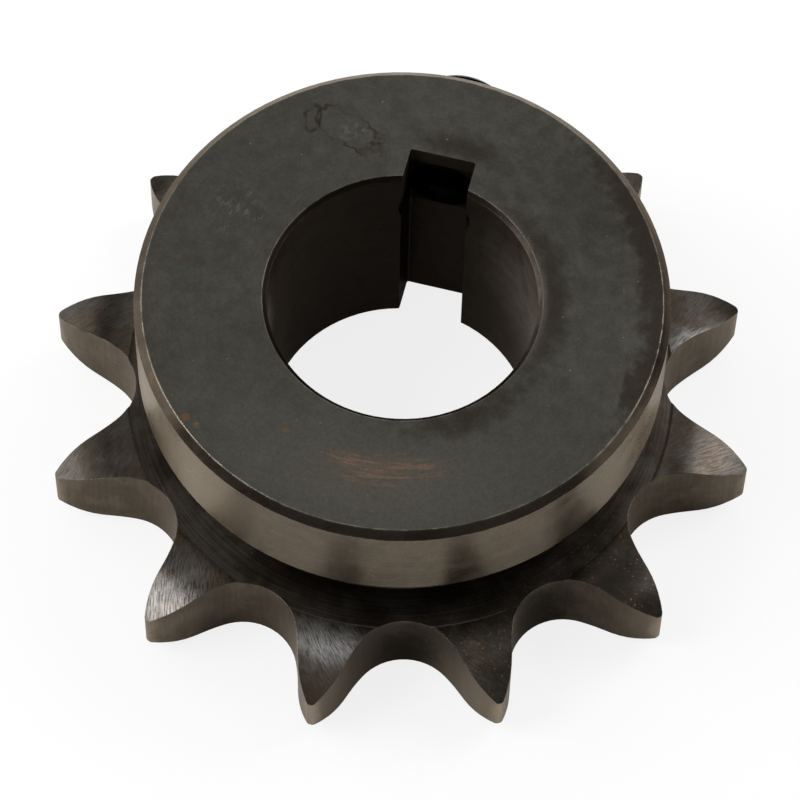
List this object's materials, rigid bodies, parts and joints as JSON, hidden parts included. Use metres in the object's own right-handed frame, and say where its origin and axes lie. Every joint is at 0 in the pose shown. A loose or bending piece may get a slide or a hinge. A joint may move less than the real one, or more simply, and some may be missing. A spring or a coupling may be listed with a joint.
{
  "type": "chain sprocket",
  "caption": "Roller chain sprocket with a one-sided grooved hub, finished bore, keyway and a set screw over the keyway.",
  "frame": {"origin": "on the bore's axis at the toothed plate's back face", "axes": "+Z along the bore towards the hub's end, +Y through the keyway and a tooth's middle"},
  "size_m": [0.0688, 0.0688, 0.0254],
  "materials": {
    "oxided_steel": "machined, black oxided and oiled",
    "oxided_screw": "black oxided, satin"
  },
  "bodies": {
    "root": {"sprocket": "oxided_steel", "set_screw": "oxided_screw"}
  },
  "joints": []
}
